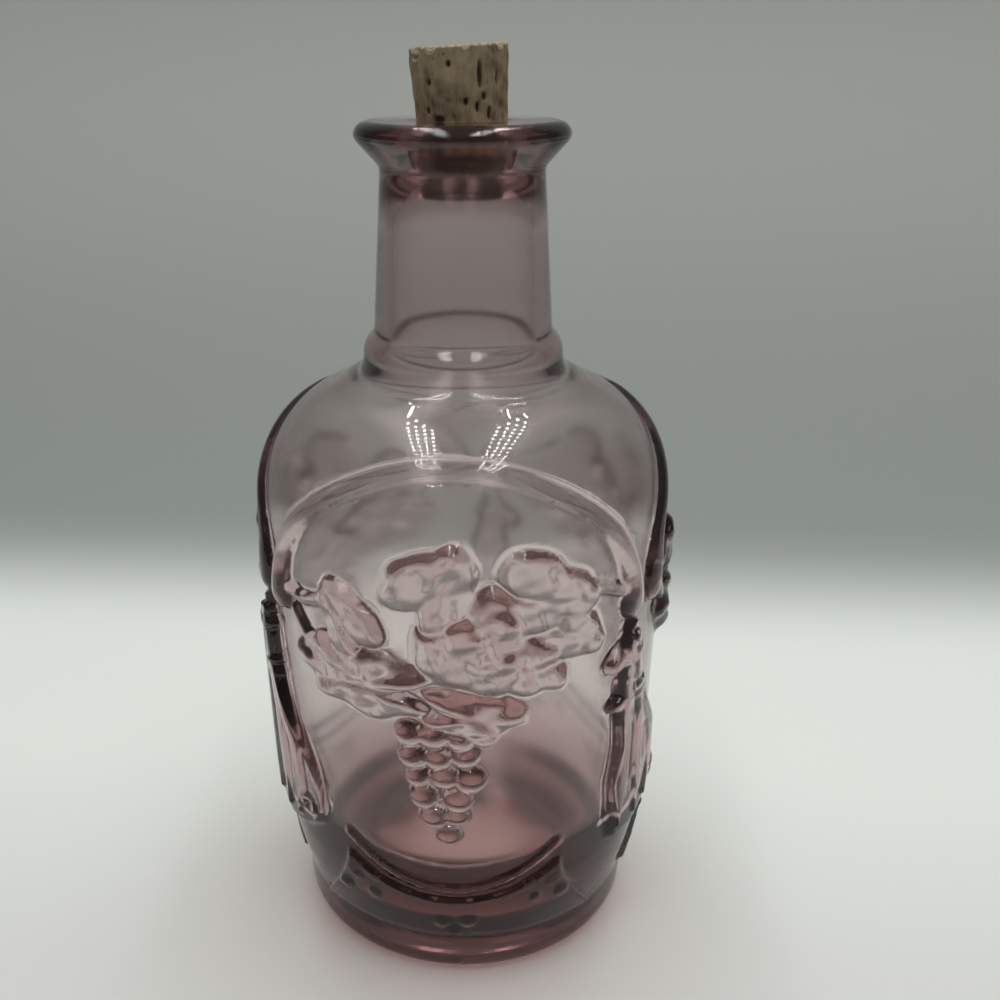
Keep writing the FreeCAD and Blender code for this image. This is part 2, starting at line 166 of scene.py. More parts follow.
def inside_section():
    """Outline of the cavity from the rim of the mouth to the middle of the floor."""
    rim = GLASS_HEIGHT
    return section((12.9, rim), (
        ((10.8, rim - 1.8), 2.1, -1, 0.4),
        ((10.2, 206.5), 0, 0, 2.2),
        ((11.8, 202.6), 7.0, -1, 0.8),
        ((16.9, 187.0), 24.0, 1, 1.6),
        ((17.7, 166.0), 0, 0, 4.0),
        ((31.2, 150.1), 21.3, -1, 1.6),
        ((50.0, SHOULDER_LOW), 28.9, 1, 1.8),
        ((50.0, SIDE_HIGH), 0, 0, 5.5),
        ((48.5, 42.0), 0, 0, 7.0),
        ((16.0, 8.9), 44.0, 1, 2.6),
        ((0.0, 8.6), 300.0, -1, 4.0),
    ))


def outside_radius(level):
    """Radius of the plain glass from the foot to the end of the shoulder, for arrays of levels."""
    level = np.asarray(level, float)
    low, high = FLARE_RADII
    above = level - FLARE_LOW
    flare = low + (high - low) * above / (FLARE_HIGH - FLARE_LOW)
    flare += above * (FLARE_HIGH - level) / (2 * FLARE_BEND)
    side = BODY_RADIUS - (SIDE_HIGH - np.minimum(level, SIDE_HIGH)) ** 2 / (2 * SIDE_BEND)
    rise = np.clip(level - SHOULDER_LOW, 0.0, 28.0)
    dome = BODY_RADIUS - SHOULDER_BEND + np.sqrt(np.maximum(0.0, SHOULDER_BEND ** 2 - rise ** 2))
    return np.where(level < FLARE_HIGH, flare, np.where(level < SHOULDER_LOW, side, dome))


def on_glass(angle, level):
    """Points at angles in degrees from the panel's middle and at levels."""
    turn = np.radians(np.asarray(angle, float))
    radius = outside_radius(level)
    return np.stack((radius * np.sin(turn), -radius * np.cos(turn), level + 0 * turn), axis=-1)


# ---------------------------------------------------------------- embossing

def smooth(low, high, value):
    """Smooth step from 0 at low to 1 at high."""
    share = np.clip((value - low) / (high - low), 0.0, 1.0)
    return share * share * (3 - 2 * share)


def ridge(spots, path, widths, rise):
    """Height of a rounded rib of given half-widths along a path of points."""
    best = np.full(len(spots), 1e9)
    half = np.ones(len(spots))
    for start, end, first, last in zip(path[:-1], path[1:], widths[:-1], widths[1:]):
        along = end - start
        share = np.clip((spots - start) @ along / (along @ along), 0.0, 1.0)
        reach = np.linalg.norm(spots - start - share[:, None] * along, axis=1)
        width = first + (last - first) * share
        closer = reach / width < best / half
        best = np.where(closer, reach, best)
        half = np.where(closer, width, half)
    return rise * np.sqrt(np.clip(1 - (best / half) ** 2, 0.0, 1.0))


class Panel:
    """Points of one panel: arc length aside from its middle, level, and place."""

    def __init__(self, places):
        self.places = places
        self.level = places[:, 2]
        self.angle = np.degrees(np.arctan2(places[:, 0], -places[:, 1]))
        self.aside = np.radians(self.angle) * BODY_RADIUS

    def near(self, angle, level):
        """Offsets in millimetres from a spot on the panel."""
        return self.aside - math.radians(angle) * BODY_RADIUS, self.level - level


# Arch: angle and level of its feet, level of its crown, rise above the glass at its feet,
# share of that rise at its crown, and the levels between which it gets lower.
ARCH_ANGLE = 54.0
ARCH_FOOT, ARCH_CROWN = 106.5, 144.4
ARCH_RISE = 2.9
CROWN_SHARE = 0.58
ARCH_FADE = 125.0, 108.0


def arch_relief(panel):
    """Rounded arch over a panel, lower at its crown and wider at its feet."""
    share = np.linspace(-1.0, 1.0, 41)
    reach = np.sin(share * math.pi / 2)
    fall = 1 - np.sqrt(np.maximum(0.0, 1 - np.abs(reach) ** 2.1))
    path = on_glass(ARCH_ANGLE * reach, ARCH_CROWN - (ARCH_CROWN - ARCH_FOOT) * fall)
    height = ridge(panel.places, path, 2.9 + 1.8 * share ** 4, ARCH_RISE)
    return height * (CROWN_SHARE + (1 - CROWN_SHARE) * smooth(*ARCH_FADE, panel.level))


# Bunch of grapes: level of each row, and the angles of its grapes.
GRAPE_ROWS = (
    (79.8, (-10.4, -4.2, 3.0, 9.0)),
    (73.8, (-9.4, -3.0, 4.0)),
    (68.0, (-8.4, -1.4, 5.4)),
    (62.2, (-6.8, 2.2)),
    (56.4, (-4.2, 1.8)),
    (50.6, (-0.4,)),
)


def grape_relief(panel):
    """Round grapes that differ a little in size and place."""
    height = np.zeros(len(panel.level))
    for row, (level, angles) in enumerate(GRAPE_ROWS):
        for column, angle in enumerate(angles):
            radius = 3.7 + 0.35 * math.sin(2.3 * row + 1.7 * column)
            right, up = panel.near(angle, level + 0.5 * math.sin(3.1 * row + 2.3 * column))
            reach = np.hypot(right, up) / radius
            dome = radius * np.sqrt(np.maximum(0.0, 1 - reach ** 2)) * 0.85
            height = np.maximum(height, dome * smooth(1.0, 0.93, reach))
    return height


# Small berries on the banner: angle and level.
BERRY_SPOTS = ((-29.5, 31.5), (-34.0, 26.0), (-23.5, 27.0), (29.5, 32.0), (33.0, 27.0), (24.5, 27.5),
               (-3.0, 20.5), (4.5, 21.0), (0.5, 17.0))
BERRY_RADIUS = 2.0
BERRY_RISE = 0.9


def berry_relief(panel):
    """Low round bumps, which stand on the banner."""
    height = np.zeros(len(panel.level))
    for angle, level in BERRY_SPOTS:
        right, up = panel.near(angle, level)
        reach = np.hypot(right, up) / BERRY_RADIUS
        height = np.maximum(height, BERRY_RISE * np.sqrt(np.maximum(0.0, 1 - reach ** 2)))
    return height


# Leaves: angle, level, half length, half width, turn of the tip from straight up,
# lobes, depth of the notches, rise above the glass.
LEAVES = (
    (-23.5, 92.5, 22.5, 10.5, 85.0, 7, 0.14, 3.2),
    (5.0, 86.5, 15.0, 7.2, 262.0, 5, 0.14, 3.4),
    (-26.5, 107.0, 12.5, 8.4, 38.0, 3, 0.14, 3.3),
    (-4.0, 117.6, 13.5, 12.5, 320.0, 3, 0.2, 3.5),
    (23.0, 115.6, 17.0, 12.0, 255.0, 3, 0.22, 3.3),
    (31.5, 105.0, 12.0, 8.0, 240.0, 3, 0.16, 3.0),
    (19.0, 99.5, 14.0, 9.0, 235.0, 5, 0.14, 3.5),
    (7.0, 104.5, 15.0, 16.0, 215.0, 3, 0.18, 4.2),
    (9.0, 106.5, 11.0, 10.0, 200.0, 3, 0.08, 5.2),
)


def leaf_relief(panel, leaf):
    """Height of a thick lobed leaf: soft at its edge, and uneven like melted wax."""
    angle, level, length, width, turn, lobes, notch, rise = leaf
    right, up = panel.near(angle, level)
    tilt = math.radians(turn)
    along = up * math.cos(tilt) - right * math.sin(tilt)
    across = right * math.cos(tilt) + up * math.sin(tilt)
    bearing = np.arctan2(across / width, along / length)
    reach = 1 - notch * (1 - np.cos(lobes * bearing)) / 2
    reach -= 0.35 * np.exp(-((np.abs(bearing) - math.pi) / 0.35) ** 2)
    reach += 0.03 * np.sin(5.0 * bearing + angle) + 0.02 * np.sin(9.0 * bearing + level)
    share = np.hypot(across / width, along / length) / reach
    body = np.sqrt(1 - smooth(0.55, 1.0, share) ** 2) * (1.1 - 0.22 * smooth(0.0, 0.85, share))
    folds = 0.12 * np.cos(lobes * bearing) * smooth(0.1, 0.6, share) * smooth(1.0, 0.8, share)
    vein = 0.14 * np.exp(-((across / 0.8) ** 2)) * smooth(0.95, 0.5, share)
    wax = np.sin(0.42 * right + angle) * np.sin(0.55 * up + 0.3 * right + level)
    wax += 0.5 * np.sin(1.0 * right - 0.6 * up + level) * np.sin(0.9 * up + 0.5 * right + angle)
    return rise * (body + folds - vein + 0.09 * wax * smooth(1.0, 0.75, share)) * (share < 1.0)


# Stems: angles and levels along each.
STEMS = (
    ((-51.0, 109.5), (-43.0, 108.5), (-33.0, 111.0), (-23.0, 109.5)),
    ((-46.5, 104.0), (-41.5, 98.5), (-33.0, 97.5), (-20.0, 99.0)),
    ((49.0, 111.0), (42.0, 114.0), (32.0, 116.0)),
)
STEM_WIDTH = 2.0
STEM_RISE = 1.6


def stem_relief(panel):
    """Round stems that run from the arch to the leaves."""
    height = np.zeros(len(panel.level))
    for spots in STEMS:
        angles, levels = np.array(spots).T
        widths = np.full(len(spots), STEM_WIDTH)
        height = np.maximum(height, ridge(panel.places, on_glass(angles, levels), widths, STEM_RISE))
    return height


# Twig above the banner: angle and rise of its ends, level of its middle, half width and height.
TWIG_ANGLE, TWIG_END_RISE = 31.0, 11.0
TWIG_LEVEL = 32.6
TWIG_WIDTH, TWIG_RISE = 1.4, 1.0


def twig_relief(panel):
    """Thin knotted twig that sags over the banner."""
    share = np.linspace(-1.0, 1.0, 17)
    path = on_glass(TWIG_ANGLE * share, TWIG_LEVEL + TWIG_END_RISE * share ** 2)
    knots = 1 + 0.12 * np.sin(panel.aside * 1.9)
    return ridge(panel.places, path, np.full(len(share), TWIG_WIDTH), TWIG_RISE) * knots


# Banner: angle of its upper corners, how far its sides spread below them, the levels of its
# corners and of the middle of its upper edge, its thickness, and the height of its rim.
BANNER_ANGLE, BANNER_SPREAD = 33.0, 17.0
BANNER_CORNER, BANNER_MIDDLE = 39.5, 29.8
BANNER_RISE, BANNER_RIM = 1.2, 0.4


def banner_relief(panel):
    """Flat banner round the foot with a sagging upper edge and a low rim."""
    share = panel.angle / BANNER_ANGLE
    top = BANNER_MIDDLE + (BANNER_CORNER - BANNER_MIDDLE) * share ** 2
    drop = np.clip((BANNER_CORNER - panel.level) / (BANNER_CORNER - EMBOSSED[0]), 0.0, 1.0)
    edge = BANNER_ANGLE + BANNER_SPREAD * (1 - np.cos(drop * math.pi / 2))
    inside = np.minimum(top - panel.level, (edge - np.abs(panel.angle)) * 0.72)
    rim = BANNER_RIM * np.exp(-((inside - 1.6) / 0.8) ** 2)
    return BANNER_RISE * smooth(0.0, 1.5, inside) + rim * (inside > 0.0)


# Drape between two arches, in angles from the middle between two panels and levels.
DRAPE_EDGE = (
    (-3.0, 104.0), (-2.0, 96.0), (0.0, 89.0), (1.0, 83.0), (4.0, 77.0), (8.5, 71.0), (13.0, 66.0),
    (17.5, 60.5), (21.0, 54.0), (22.0, 47.5), (18.5, 41.0), (11.0, 36.5), (0.0, 34.0), (-10.0, 35.0),
    (-12.0, 45.0), (-13.5, 55.0), (-11.0, 66.0), (-12.5, 77.0), (-12.0, 86.0), (-12.0, 95.0), (-8.5, 102.0),
)
DRAPE_FOLDS = (
    ((-8.5, 97.0), (-8.5, 82.0), (-7.5, 67.0), (-9.0, 54.0), (-7.5, 40.0)),
    ((-5.0, 98.0), (-4.0, 84.0), (-0.5, 70.0), (0.5, 55.0), (1.5, 40.0)),
    ((-1.5, 84.0), (3.0, 73.5), (8.5, 64.0), (10.5, 52.0), (8.5, 41.5)),
)
DRAPE_LEAVES = (
    (-8.0, 93.5, 9.0, 4.6, 112.0, 3, 0.12, 3.3),
    (-5.5, 80.5, 9.0, 4.2, 106.0, 3, 0.10, 3.3),
)

# Ring on the drape: angle and level of its middle, its radius and the radius of its wire.
RING_SPOT = 14.5, 47.0
RING_RADIUS, WIRE_RADIUS = 2.3, 0.9

# Height and soft edge of the drape's cloth, half width of its folds and of their ends, and
# their height.
CLOTH_RISE, CLOTH_EDGE = 2.2, 2.2
FOLD_WIDTH, FOLD_END = 2.9, 0.8
FOLD_RISE = 1.2


def depth_inside(aside, level, corners):
    """How far inside a closed outline each point lies; negative outside it."""
    best = np.full(len(level), 1e9)
    inside = np.zeros(len(level), bool)
    for (x1, z1), (x2, z2) in zip(corners, np.roll(corners, -1, axis=0)):
        way = np.array((x2 - x1, z2 - z1))
        share = np.clip(((aside - x1) * way[0] + (level - z1) * way[1]) / (way @ way), 0.0, 1.0)
        best = np.minimum(best, np.hypot(aside - x1 - share * way[0], level - z1 - share * way[1]))
        if z1 != z2:
            crossed = (level < z1) != (level < z2)
            inside ^= crossed & (aside < x1 + (level - z1) * (x2 - x1) / (z2 - z1))
    return np.where(inside, best, -best)


def drape_relief(places):
    """Height of the drape with its folds, leaves and ring."""
    panel = Panel(places)
    corners = [(math.radians(angle) * BODY_RADIUS, level) for angle, level in DRAPE_EDGE]
    inside = depth_inside(panel.aside, panel.level, corners)
    field = smooth(0.0, CLOTH_EDGE, inside)
    height = CLOTH_RISE * field
    for spots in DRAPE_FOLDS:
        angles, levels = np.array(spots).T
        widths = np.array((FOLD_END, *[FOLD_WIDTH] * (len(spots) - 2), FOLD_END))
        fold = ridge(places, on_glass(angles, levels), widths, FOLD_RISE)
        height = np.maximum(height, 2.0 * field + fold * field)
    right, up = panel.near(*RING_SPOT)
    thread = (np.hypot(right, up) - RING_RADIUS) / WIRE_RADIUS
    height += WIRE_RADIUS * np.sqrt(np.maximum(0.0, 1 - thread ** 2))
    for leaf in DRAPE_LEAVES:
        height = np.maximum(height, leaf_relief(panel, leaf))
    return height


def relief(places):
    """Height of the whole embossing above the plain glass."""
    height = np.zeros(len(places))
    bearing = np.arctan2(places[:, 0], -places[:, 1])
    third = 2 * math.pi / 3

    def turned(offset):
        """The places brought to the panel that they lie in."""
        index = np.round((bearing - offset) / third)
        turn = index * third + offset
        across = places[:, 0] * np.cos(turn) + places[:, 1] * np.sin(turn)
        depth = places[:, 1] * np.cos(turn) - places[:, 0] * np.sin(turn)
        return np.stack((across, depth, places[:, 2]), axis=1)

    panel = Panel(turned(0.0))
    for part in (arch_relief, grape_relief, stem_relief, twig_relief, banner_relief):
        height = np.maximum(height, part(panel))
    for leaf in LEAVES:
        height = np.maximum(height, leaf_relief(panel, leaf))
    height = np.maximum(height, drape_relief(turned(third / 2)))
    return height + berry_relief(panel)


# ---------------------------------------------------------------- shader maths

class Sock:
    """Output of a material's node that can be added to and multiplied."""

    def __init__(self, tree, socket):
        self.tree = tree
        self.socket = socket

    def maths(self, operation, other):
        """Output of a Math node fed by this one and another, or a number."""
        settings = {"operation": operation}
        return add_node(self.tree, "ShaderNodeMath", settings, Value=self, Value_001=other)["Value"]

    def __add__(self, other):
        return self.maths("ADD", other)

    def __mul__(self, other):
        return self.maths("MULTIPLY", other)


def add_node(tree, kind, settings=None, **inputs):
    """Adds a node, sets it up, feeds its sockets, and returns its outputs by identifier."""
    node = tree.nodes.new(kind)
    for name, value in (settings or {}).items():
        if name == "stops":
            ramp = node.color_ramp
            while len(ramp.elements) < len(value):
                ramp.elements.new(0.5)
            for element, (place, colour) in zip(ramp.elements, value):
                element.position = place
                element.color = (*colour, 1.0)
        else:
            setattr(node, name, value)
    for name, value in inputs.items():
        socket = next(item for item in node.inputs if name in (item.identifier, item.name.replace(" ", "_")))
        if isinstance(value, Sock):
            tree.links.new(value.socket, socket)
        else:
            socket.default_value = value
    return {item.identifier: Sock(tree, item) for item in node.outputs} | {"node": node}


def new_material(name):
    """Empty node material with its output node."""
    material = bpy.data.materials.new(name)
    material.use_nodes = True
    material.node_tree.nodes.clear()
    output = material.node_tree.nodes.new("ShaderNodeOutputMaterial")
    return material, material.node_tree, output


# ---------------------------------------------------------------- materials

def glass_material(look):
    """Clear pressed glass: its tint deepens with its thickness, and its inside is less smooth."""
    material, tree, output = new_material("tinted_pressed_glass")
    inner = add_node(tree, "ShaderNodeAttribute", {"attribute_name": "inner"})["Fac"]
    shader = add_node(tree, "ShaderNodeBsdfPrincipled", None, Base_Color=(1.0, 1.0, 1.0, 1.0),
                      Roughness=inner * look.inner_roughness + look.glass_roughness, IOR=look.glass_index,
                      Transmission_Weight=1.0)
    tint = add_node(tree, "ShaderNodeVolumeAbsorption", None, Color=(*look.glass_tint, 1.0),
                    Density=look.glass_density)
    passing = add_node(tree, "ShaderNodeBsdfTransparent", None, Color=(*look.shadow_tint, 1.0))
    ray = add_node(tree, "ShaderNodeLightPath")
    mixed = add_node(tree, "ShaderNodeMixShader", None, Fac=ray["Is Shadow Ray"] * look.shadow_share)
    tree.links.new(shader["BSDF"].socket, mixed["node"].inputs[1])
    tree.links.new(passing["BSDF"].socket, mixed["node"].inputs[2])
    tree.links.new(mixed["Shader"].socket, output.inputs["Surface"])
    tree.links.new(tint["Volume"].socket, output.inputs["Volume"])
    return material


def cork_material(look):
    """Dry cork: streaked and mottled grain; its pores keep their own dark tone with painted shade in them,
    its rim gets painted shade where it was cut into, and it is darker below the mouth.
    """
    material, tree, output = new_material("dry_cork")
    place = add_node(tree, "ShaderNodeTexCoord")["Object"]
    streaks = add_node(tree, "ShaderNodeMapping", None, Vector=place, Scale=(1.0, 1.0, 0.16))["Vector"]
    grain = add_node(tree, "ShaderNodeTexNoise", None, Vector=place, Scale=420.0, Detail=5.0, Roughness=0.65)
    mottle = add_node(tree, "ShaderNodeTexNoise", None, Vector=place, Scale=120.0, Detail=3.0, Roughness=0.5)
    streak = add_node(tree, "ShaderNodeTexNoise", None, Vector=streaks, Scale=700.0, Detail=2.0,
                      Roughness=0.5)
    cells = add_node(tree, "ShaderNodeTexVoronoi", None, Vector=place, Scale=430.0, Randomness=1.0)
    blend = mottle["Fac"] * 0.4 + grain["Fac"] * 0.35 + streak["Fac"] * 0.25
    dark, middle, light = ([channel * share for channel in look.cork_colour] for share in (0.42, 1.0, 1.55))
    colour = add_node(tree, "ShaderNodeValToRGB",
                      {"stops": ((0.38, dark), (0.47, middle), (0.62, light))}, Fac=blend)
    speck = add_node(tree, "ShaderNodeValToRGB",
                     {"stops": ((0.0, (0.2, 0.16, 0.13)), (0.2, (1.0, 1.0, 1.0)))}, Fac=cells["Distance"])
    patches = add_node(tree, "ShaderNodeMapRange", None, Value=mottle["Fac"], From_Min=0.5,
                       From_Max=0.6)["Result"]
    mixed = add_node(tree, "ShaderNodeMix", {"data_type": "RGBA", "blend_type": "MULTIPLY"},
                     Factor_Float=patches, A_Color=colour["Color"], B_Color=speck["Color"])
    # Share of the dark colour: the pores' own dark tone with painted shade, painted shade in the chips, and
    # darker cork below the mouth.
    hollow = add_node(tree, "ShaderNodeAttribute", {"attribute_name": "hollow"})["Fac"]
    deep = add_node(tree, "ShaderNodeMix", {"data_type": "RGBA"}, Factor_Float=hollow,
                    A_Color=mixed["Result_Color"], B_Color=(*look.pore_and_shade_colour, 1.0))
    bump = add_node(tree, "ShaderNodeBump", None, Strength=0.6, Distance=0.0006,
                    Height=grain["Fac"] * 0.6 + streak["Fac"] * 0.5)
    shader = add_node(tree, "ShaderNodeBsdfPrincipled", None, Base_Color=deep["Result_Color"], Roughness=0.85,
                      Normal=bump["Normal"])
    tree.links.new(shader["BSDF"].socket, output.inputs["Surface"])
    return material


def stage_material(studio):
    """Pale floor that rises into a grey wall; painted shade darkens the floor in front, and painted light
    makes the wall lighter higher up than at its foot.
    """
    material, tree, output = new_material("floor_and_wall")
    place = add_node(tree, "ShaderNodeTexCoord")["Object"]
    axes = add_node(tree, "ShaderNodeSeparateXYZ", None, Vector=place)
    # Starts from the floor in front, darkened with painted shade, then mixes in the pale floor, the wall, and
    # the wall's painted light higher up.
    colour = (*studio.front_painted_shade_colour, 1.0)
    for axis, low, high, kind, tone in (
            ("Y", studio.floor_front, studio.floor_middle, "SMOOTHSTEP", studio.floor_colour),
            ("Y", studio.floor_end, studio.wall_start, "SMOOTHERSTEP", studio.wall_colour),
            # Painted light: the wall is lighter higher up.
            ("Z", studio.wall_low, studio.wall_high, "SMOOTHSTEP", studio.top_painted_light_colour)):
        share = add_node(tree, "ShaderNodeMapRange", {"interpolation_type": kind}, Value=axes[axis],
                         From_Min=low, From_Max=high)["Result"]
        colour = add_node(tree, "ShaderNodeMix", {"data_type": "RGBA"}, Factor_Float=share,
                          A_Color=colour, B_Color=(*tone, 1.0))["Result_Color"]
    shader = add_node(tree, "ShaderNodeBsdfPrincipled", None, Base_Color=colour, Roughness=0.9)
    tree.links.new(shader["BSDF"].socket, output.inputs["Surface"])
    return material


def lamp_material(studio):
    """Bright points of the lamp strips, for their reflections."""
    material, tree, output = new_material("lamp_points")
    shader = add_node(tree, "ShaderNodeEmission", None, Color=(1.0, 1.0, 0.97, 1.0),
                      Strength=studio.point_light)
    tree.links.new(shader["Emission"].socket, output.inputs["Surface"])
    return material


# ---------------------------------------------------------------- pieces

def spin_section(mesh, points, columns):
    """Turns an outline once about Z; an end that lies off the axis stays open."""
    corners = [mesh.verts.new((radius * MM, 0.0, level * MM)) for radius, level in points]
    edges = [mesh.edges.new(pair) for pair in zip(corners[:-1], corners[1:])]
    bmesh.ops.spin(mesh, geom=corners + edges, cent=(0, 0, 0), axis=(0, 0, 1), dvec=(0, 0, 0),
                   angle=2 * math.pi, steps=columns, use_merge=True, use_duplicate=False)


def finish_piece(name, mesh, material, node):
    """Makes an object from a bmesh, smooth all over, that stands for a node of the frame."""
    data = bpy.data.meshes.new(name)
    mesh.to_mesh(data)
    mesh.free()
    data.polygons.foreach_set("use_smooth", np.ones(len(data.polygons), bool))
    data.materials.append(material)
    piece = bpy.data.objects.new(name, data)
    bpy.context.collection.objects.link(piece)
    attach(piece, "root")
    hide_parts(node)
    return piece


class DecanterSettings(bpy.types.PropertyGroup):
    columns: IntProperty(name="Columns", description="Faces round the outside of the glass", default=180)
    inner_columns: IntProperty(name="Inner columns", description="Faces round the inside", default=96)
    glass_index: FloatProperty(name="Refraction", description="Index of refraction of the glass", default=1.5)
    glass_tint: FloatVectorProperty(name="Tint", description="Light that thick glass lets through",
                                    default=(0.71, 0.555, 0.555), size=3, subtype="COLOR")
    glass_density: FloatProperty(name="Tint depth", description="How fast the tint deepens, per metre",
                                 default=145.0)
    glass_roughness: FloatProperty(name="Gloss", description="Roughness of the outside", default=0.003)
    inner_roughness: FloatProperty(name="Inner haze", description="Extra roughness of the inside",
                                   default=0.17)
    shadow_share: FloatProperty(name="Shadow light", description="Light that passes straight into the shadow",
                                default=0.92)
    shadow_tint: FloatVectorProperty(name="Shadow tint", description="Tint of the light in the shadow",
                                     default=(0.95, 0.92, 0.91), size=3, subtype="COLOR")
    cork_colour: FloatVectorProperty(name="Cork", description="Middle tone of the cork",
                                     default=(0.25, 0.193, 0.116), size=3, subtype="COLOR")
    # The pores' own dark tone with painted shade, also used for the painted shade in the chips and for the
    # darker cork below the mouth.
    pore_and_shade_colour: FloatVectorProperty(name="Pores", description="Colour deep in the cork's pores",
                                     default=(0.035, 0.022, 0.014), size=3, subtype="COLOR")


class StudioSettings(bpy.types.PropertyGroup):
    # Floor in front, darkened with painted shade.
    front_painted_shade_colour: FloatVectorProperty(name="Front", description="Floor in front", default=(0.56, 0.57, 0.55),
                                      size=3, subtype="COLOR")
    floor_colour: FloatVectorProperty(name="Floor", description="Pale floor", default=(0.63, 0.665, 0.63),
                                      size=3, subtype="COLOR")
    wall_colour: FloatVectorProperty(name="Wall", description="Grey wall", default=(0.226, 0.247, 0.231),
                                     size=3, subtype="COLOR")
    # Wall higher up, lightened with painted light.
    top_painted_light_colour: FloatVectorProperty(name="Wall top", description="Wall higher up",
                                    default=(0.382, 0.39, 0.372), size=3, subtype="COLOR")
    room_colour: FloatVectorProperty(name="Room", description="Light of the room all round",
                                     default=(0.125, 0.125, 0.12), size=3, subtype="COLOR")
    ceiling_colour: FloatVectorProperty(name="Ceiling", description="Light from the ceiling",
                                        default=(0.22, 0.22, 0.21), size=3, subtype="COLOR")
    # Where the painted shade on the floor in front starts to fade, and where it is gone.
    floor_front: FloatProperty(name="Floor front", description="Where the floor starts to brighten",
                               default=-0.06, subtype="DISTANCE")
    floor_middle: FloatProperty(name="Floor middle", description="Where the floor is brightest", default=0.06,
                                subtype="DISTANCE")
    floor_end: FloatProperty(name="Floor end", description="Where the floor starts to fade", default=0.12,
                             subtype="DISTANCE")
    wall_start: FloatProperty(name="Wall start", description="Where the wall's colour is full", default=0.25,
                              subtype="DISTANCE")
    # Heights between which the wall's painted light comes in.
    wall_low: FloatProperty(name="Wall low", description="Height where the wall starts to brighten",
                            default=0.0, subtype="DISTANCE")
    wall_high: FloatProperty(name="Wall high", description="Height where the wall is brightest", default=0.24,
                             subtype="DISTANCE")
    point_light: FloatProperty(name="Lamp points", description="Strength of the lamp strips' points",
                               default=60.0)
    camera_distance: FloatProperty(name="Camera distance", description="From the axis, along the floor",
                                   default=0.2718, subtype="DISTANCE")
    camera_height: FloatProperty(name="Camera height", description="Above the floor", default=0.2312,
                                 subtype="DISTANCE")
    camera_azimuth: FloatProperty(name="Camera azimuth", description="Round from the front of the panel",
                                  default=math.radians(4.0), subtype="ANGLE")
    camera_pitch: FloatProperty(name="Camera pitch", description="Tilt down from level",
                                default=math.radians(22.49), subtype="ANGLE")
    camera_roll: FloatProperty(name="Camera roll", description="Turn about the view", subtype="ANGLE",
                               default=math.radians(-0.25))
    camera_lens: FloatProperty(name="Lens", description="Focal length for a 36 mm sensor, in mm",
                               default=39.6)
    camera_shift: FloatProperty(name="Shift", description="Sideways shift of the frame", default=0.036)


# Rounds of finer faces: how far the embossing bends within a reach, in millimetres, to earn them.
REFINEMENTS = (0.10, 1.0), (0.75, 0.5)


class DECANTER_OT_bottle(bpy.types.Operator):
    """Press the glass: turn its outside and its cavity, and raise the embossing"""
    bl_idname = "decanter.bottle"
    bl_label = "Glass bottle"

    def execute(self, context):
        look = context.scene.decanter
        mesh = bmesh.new()
        spin_section(mesh, outside_section(), look.columns)
        for step, reach in REFINEMENTS:
            refine(mesh, step, reach)
        emboss(mesh)
        inner = mesh.verts.layers.float.new("inner")
        outside = len(mesh.verts)
        spin_section(mesh, inside_section(), look.inner_columns)
        mesh.verts.ensure_lookup_table()
        for vert in mesh.verts[outside:]:
            vert[inner] = 1.0
        bmesh.ops.remove_doubles(mesh, verts=mesh.verts, dist=MERGE)
        rims = [edge for edge in mesh.edges if edge.is_boundary]
        bmesh.ops.bridge_loops(mesh, edges=rims)
        bmesh.ops.recalc_face_normals(mesh, faces=mesh.faces)
        finish_piece("glass_bottle", mesh, glass_material(look), "bottle")
        return {"FINISHED"}


def embossed_verts(mesh):
    """Corners of the outside that the embossing may move, and their places in millimetres."""
    mesh.verts.ensure_lookup_table()
    places = np.array([vert.co[:] for vert in mesh.verts]) / MM
    low, high = EMBOSSED
    chosen = np.nonzero((places[:, 2] > low) & (places[:, 2] < high))[0]
    return chosen, places


def refine(mesh, step, reach):
    """Splits the faces where the embossing rises or falls by more than a step within a reach."""
    chosen, places = embossed_verts(mesh)
    height = np.zeros(len(places))
    height[chosen] = relief(places[chosen])
    probe = np.zeros(len(places))
    bearing = np.arctan2(places[chosen, 0], -places[chosen, 1])
    for aside, up in ((reach, 0.0), (-reach, 0.0), (0.0, reach), (0.0, -reach)):
        near = on_glass(np.degrees(bearing + aside / BODY_RADIUS), places[chosen, 2] + up)
        probe[chosen] = np.maximum(probe[chosen], np.abs(relief(near) - height[chosen]))
    wanted = set(np.nonzero(probe > step)[0].tolist())
    edges = set()
    for face in mesh.faces:
        if len(face.verts) == 4 and any(vert.index in wanted for vert in face.verts):
            edges.update(face.edges)
    bmesh.ops.subdivide_edges(mesh, edges=list(edges), cuts=1, use_grid_fill=True)
    chosen, places = embossed_verts(mesh)
    radius = outside_radius(places[:, 2])
    for index in chosen.tolist():
        vert = mesh.verts[index]
        scale = radius[index] / math.hypot(places[index, 0], places[index, 1])
        vert.co.x *= scale
        vert.co.y *= scale


def emboss(mesh):
    """Moves the outside of the body outwards by the height of the embossing."""
    chosen, places = embossed_verts(mesh)
    places = places[chosen]
    height = relief(places)
    steep = np.clip((places[:, 2] - SHOULDER_LOW) / SHOULDER_BEND, 0.0, 1.0)
    flat = np.sqrt(1 - steep ** 2) / np.hypot(places[:, 0], places[:, 1])
    outward = np.stack((places[:, 0] * flat, places[:, 1] * flat, steep), axis=1)
    moved = (places + outward * height[:, None]) * MM
    for index, place in zip(chosen.tolist(), moved.tolist()):
        mesh.verts[index].co = place


